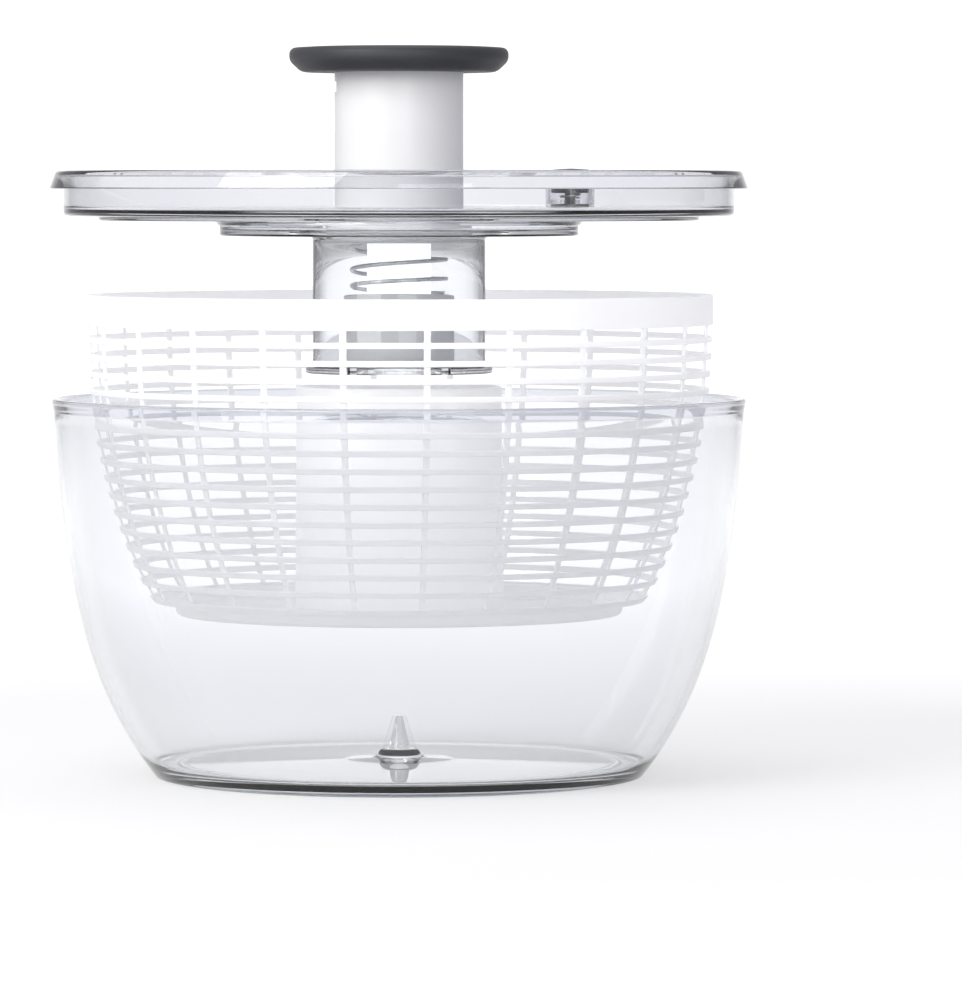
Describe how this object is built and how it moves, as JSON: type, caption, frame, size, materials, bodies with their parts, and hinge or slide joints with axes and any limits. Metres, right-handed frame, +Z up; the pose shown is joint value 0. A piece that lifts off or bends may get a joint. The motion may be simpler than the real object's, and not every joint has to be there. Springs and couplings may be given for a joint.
{
  "type": "salad spinner",
  "caption": "Pump-action salad spinner: clear bowl, white slotted basket with a central tower, and a clear lid whose plunger knob spins the basket, with a brake button and a knob lock.",
  "frame": {"origin": "on the spinner's axis, at the surface that the bowl stands on", "axes": "+Z up along the axis the basket spins on; -Y is the front; the lock slider is at -X"},
  "size_m": [0.2686, 0.2686, 0.281],
  "materials": {
    "clear_plastic": "polished clear, cool grey at its edges",
    "milky_plastic": "satin, milky and translucent",
    "white_plastic": "moulded semi-gloss",
    "satin_white": "smooth satin",
    "acetal": "pale grey, waxy",
    "soft_charcoal": "soft-touch, fine grain",
    "black_plastic": "satin",
    "foot_rubber": "translucent grey, non-slip",
    "pad_rubber": "matt",
    "spring_steel": "bright drawn wire and turned steel"
  },
  "bodies": {
    "bowl": {"bowl": "clear_plastic", "foot_ring": "foot_rubber"},
    "lid": {"lid_cover": "clear_plastic", "pump_housing": "clear_plastic", "plunger_bush": "white_plastic", "spring_post": "white_plastic", "return_spring": "spring_steel", "brake_spring": "spring_steel"},
    "plunger": {"knob_cap": "soft_charcoal", "knob_core": "white_plastic", "plunger_tube": "satin_white", "twist_rod": "spring_steel", "rod_stop": "acetal", "rod_screw": "spring_steel", "spring_washer": "spring_steel"},
    "driver": {"drive_sleeve": "acetal", "drive_nut": "white_plastic", "pawl_ring": "acetal"},
    "hub": {"drive_hub": "clear_plastic", "ratchet_ring": "white_plastic", "hub_retainer": "acetal"},
    "basket": {"basket": "milky_plastic"},
    "brake": {"brake_button": "black_plastic", "brake_pad": "pad_rubber"},
    "lock": {"lock_slider": "black_plastic"}
  },
  "joints": [
    {"name": "lid_lift", "type": "slide", "parent": "bowl", "child": "lid", "axis": [0, 0, 1], "range_m": [-0.08, 0]},
    {"name": "basket_spin", "type": "hinge", "parent": "lid", "child": "hub", "pos_m": [0, 0, 0.157], "axis": [0, 0, 1], "continuous": true},
    {"name": "basket_seat", "type": "slide", "parent": "hub", "child": "basket", "axis": [0, 0, 1], "range_m": [0, 0.029]},
    {"name": "knob_press", "type": "slide", "parent": "lid", "child": "plunger", "axis": [0, 0, 1], "range_m": [-0.052, 0], "stiffness_N_per_m": 250, "springref_m": 0.02, "deforming": ["return_spring"]},
    {"name": "driver_turn", "type": "hinge", "parent": "lid", "child": "driver", "pos_m": [0, 0, 0.19], "axis": [0, 0, 1], "range_deg": [0, 720]},
    {"name": "brake_press", "type": "slide", "parent": "lid", "child": "brake", "axis": [0, 0, 1], "range_m": [-0.0025, 0], "stiffness_N_per_m": 600, "springref_m": 0.002, "deforming": ["brake_spring"]},
    {"name": "lock_slide", "type": "slide", "parent": "lid", "child": "lock", "axis": [1, 0, 0], "range_m": [0, 0.0022]}
  ],
  "couplings": [
    {"joint": "basket_seat", "follows": "lid_lift", "ratio": -0.3625},
    {"joint": "driver_turn", "follows": "knob_press", "rad_per_m": -241.66}
  ]
}
